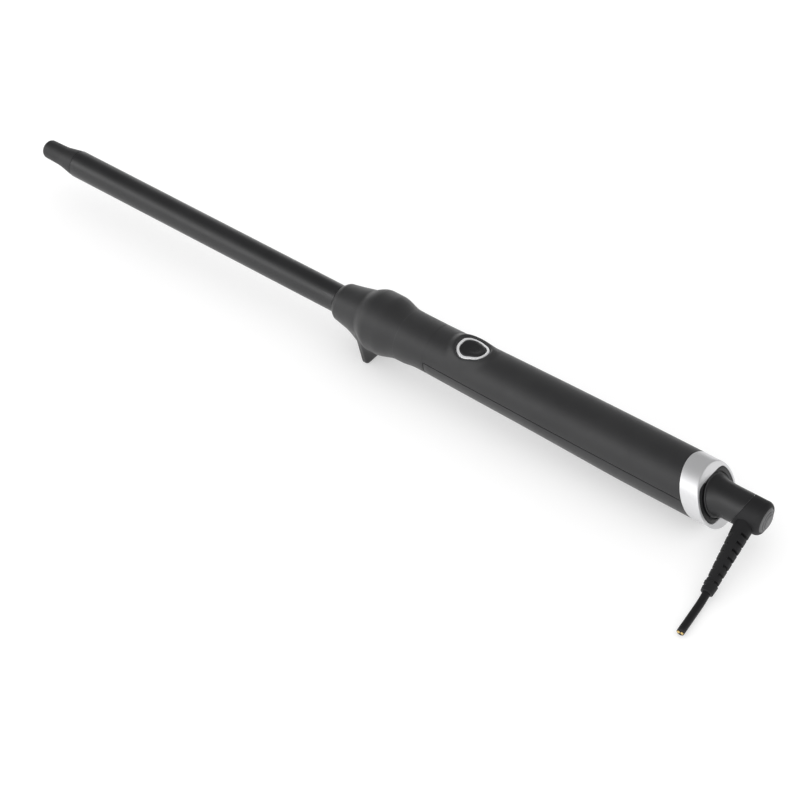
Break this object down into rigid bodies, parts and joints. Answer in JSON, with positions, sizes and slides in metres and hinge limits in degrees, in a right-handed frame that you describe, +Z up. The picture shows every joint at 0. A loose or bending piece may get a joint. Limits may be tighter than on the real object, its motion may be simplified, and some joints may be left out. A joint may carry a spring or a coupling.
{
  "type": "curling wand",
  "caption": "Slim curling wand with a heated barrel, cool tip, table stand, power button and an angled swivel for the cord.",
  "frame": {"origin": "on the barrel axis at the front face of the nose, where the barrel comes out", "axes": "+X along the handle towards the cord, +Z up through the power button, -Y towards the side where the cord hangs at rest"},
  "size_m": [0.4336, 0.082, 0.0361],
  "materials": {
    "barrel_coat": "satin",
    "tip_plastic": "satin",
    "soft_touch": "matte",
    "swivel_plastic": "satin",
    "button_plastic": "gloss",
    "cap_rubber": "matte",
    "cord_rubber": "matte",
    "ring_metal": "satin",
    "bezel_chrome": "polished",
    "spreader_metal": "satin",
    "steel": "satin",
    "ceramic": "matte",
    "film": "gloss",
    "board": "satin",
    "chip_plastic": "matte",
    "capacitor_plastic": "satin",
    "lamp_plastic": "gloss",
    "red_wire": "satin",
    "blue_wire": "satin",
    "brass": "satin"
  },
  "bodies": {
    "handle": {"barrel_tube": "barrel_coat", "cool_tip": "tip_plastic", "heat_spreader_upper": "spreader_metal", "heat_spreader_lower": "spreader_metal", "heater_plates": "ceramic", "heater_strips": "steel", "heater_film": "film", "heater_end_disc": "ceramic", "temp_sensor": "ceramic", "root_bush": "ceramic", "barrel_clip": "steel", "nose_housing": "soft_touch", "handle_body": "soft_touch", "handle_base": "soft_touch", "shell_screws": "steel", "button_bezel": "bezel_chrome", "tact_switch": "chip_plastic", "status_lamp": "lamp_plastic", "control_board": "board", "board_screws": "steel", "power_triac": "chip_plastic", "film_capacitor": "capacitor_plastic", "board_chips": "chip_plastic", "heater_leads": "red_wire", "thermal_fuse": "steel", "supply_leads": "blue_wire", "end_ring": "ring_metal", "swivel_bearing": "swivel_plastic", "brush_carrier": "swivel_plastic", "contact_brushes": "brass"},
    "button": {"power_button": "button_plastic", "switch_plunger": "lamp_plastic"},
    "cord_swivel": {"swivel_body": "swivel_plastic", "swivel_clip": "steel", "slip_rings": "brass", "swivel_cap": "cap_rubber", "strain_relief": "cord_rubber", "cable_sheath": "cord_rubber", "cable_cores": "brass"}
  },
  "joints": [
    {"name": "button_press", "type": "slide", "parent": "handle", "child": "button", "axis": [0, 0, -1], "range_m": [0, 0.0008]},
    {"name": "cord_turn", "type": "hinge", "parent": "handle", "child": "cord_swivel", "pos_m": [0.2126, 0, 0], "axis": [-0.9063, 0, -0.4226], "continuous": true}
  ]
}
